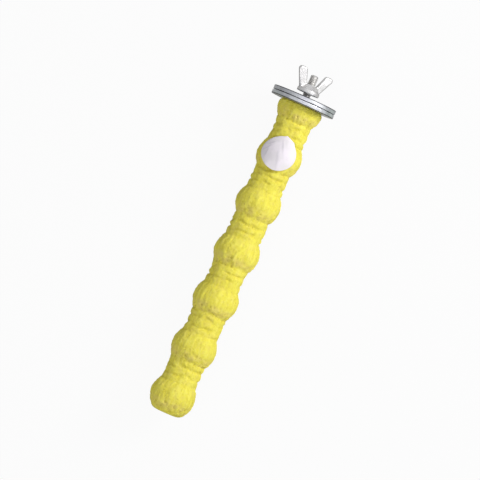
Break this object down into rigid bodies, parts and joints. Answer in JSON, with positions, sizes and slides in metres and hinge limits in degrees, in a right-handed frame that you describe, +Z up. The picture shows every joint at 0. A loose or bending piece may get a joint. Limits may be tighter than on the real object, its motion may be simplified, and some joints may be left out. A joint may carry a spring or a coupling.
{
  "type": "bird perch",
  "caption": "Rough yellow grit bird perch of rounded bulbs and ringed necks, clamped to cage bars between wide washers by a stud and wing nut.",
  "frame": {"origin": "on the stud's axis, at the clamp face of the inner washer, where the cage bars are held", "axes": "+X along the perch to its free end, -X out to the stud's tip, +Z up as the perch is used, on the side that carries the label"},
  "size_m": [0.2225, 0.04, 0.04],
  "materials": {
    "yellow_grit": "matte",
    "dowel_wood": "matte",
    "zinc_stud": "satin",
    "zinc_washer": "satin",
    "bright_nut": "satin",
    "label_paper": "matte"
  },
  "bodies": {
    "perch": {"grit_body": "yellow_grit", "wood_core": "dowel_wood", "hanger_bolt": "zinc_stud", "round_label": "label_paper"},
    "inner_washer": {"inner_washer": "zinc_washer"},
    "outer_washer": {"outer_washer": "zinc_washer"},
    "wing_nut": {"wing_nut": "bright_nut"}
  },
  "joints": [
    {"name": "inner_washer_spin", "type": "hinge", "parent": "perch", "child": "inner_washer", "pos_m": [0.00125, 0, 0], "axis": [-1, 0, 0], "continuous": true},
    {"name": "clamp_slide", "type": "slide", "parent": "perch", "child": "outer_washer", "axis": [-1, 0, 0], "range_m": [0, 0.0056]},
    {"name": "wing_nut_spin", "type": "hinge", "parent": "outer_washer", "child": "wing_nut", "pos_m": [-0.0054, 0, 0], "axis": [-1, 0, 0], "range_deg": [0, 2520]}
  ],
  "couplings": [
    {"joint": "wing_nut_spin", "follows": "clamp_slide", "rad_per_m": 7854}
  ]
}
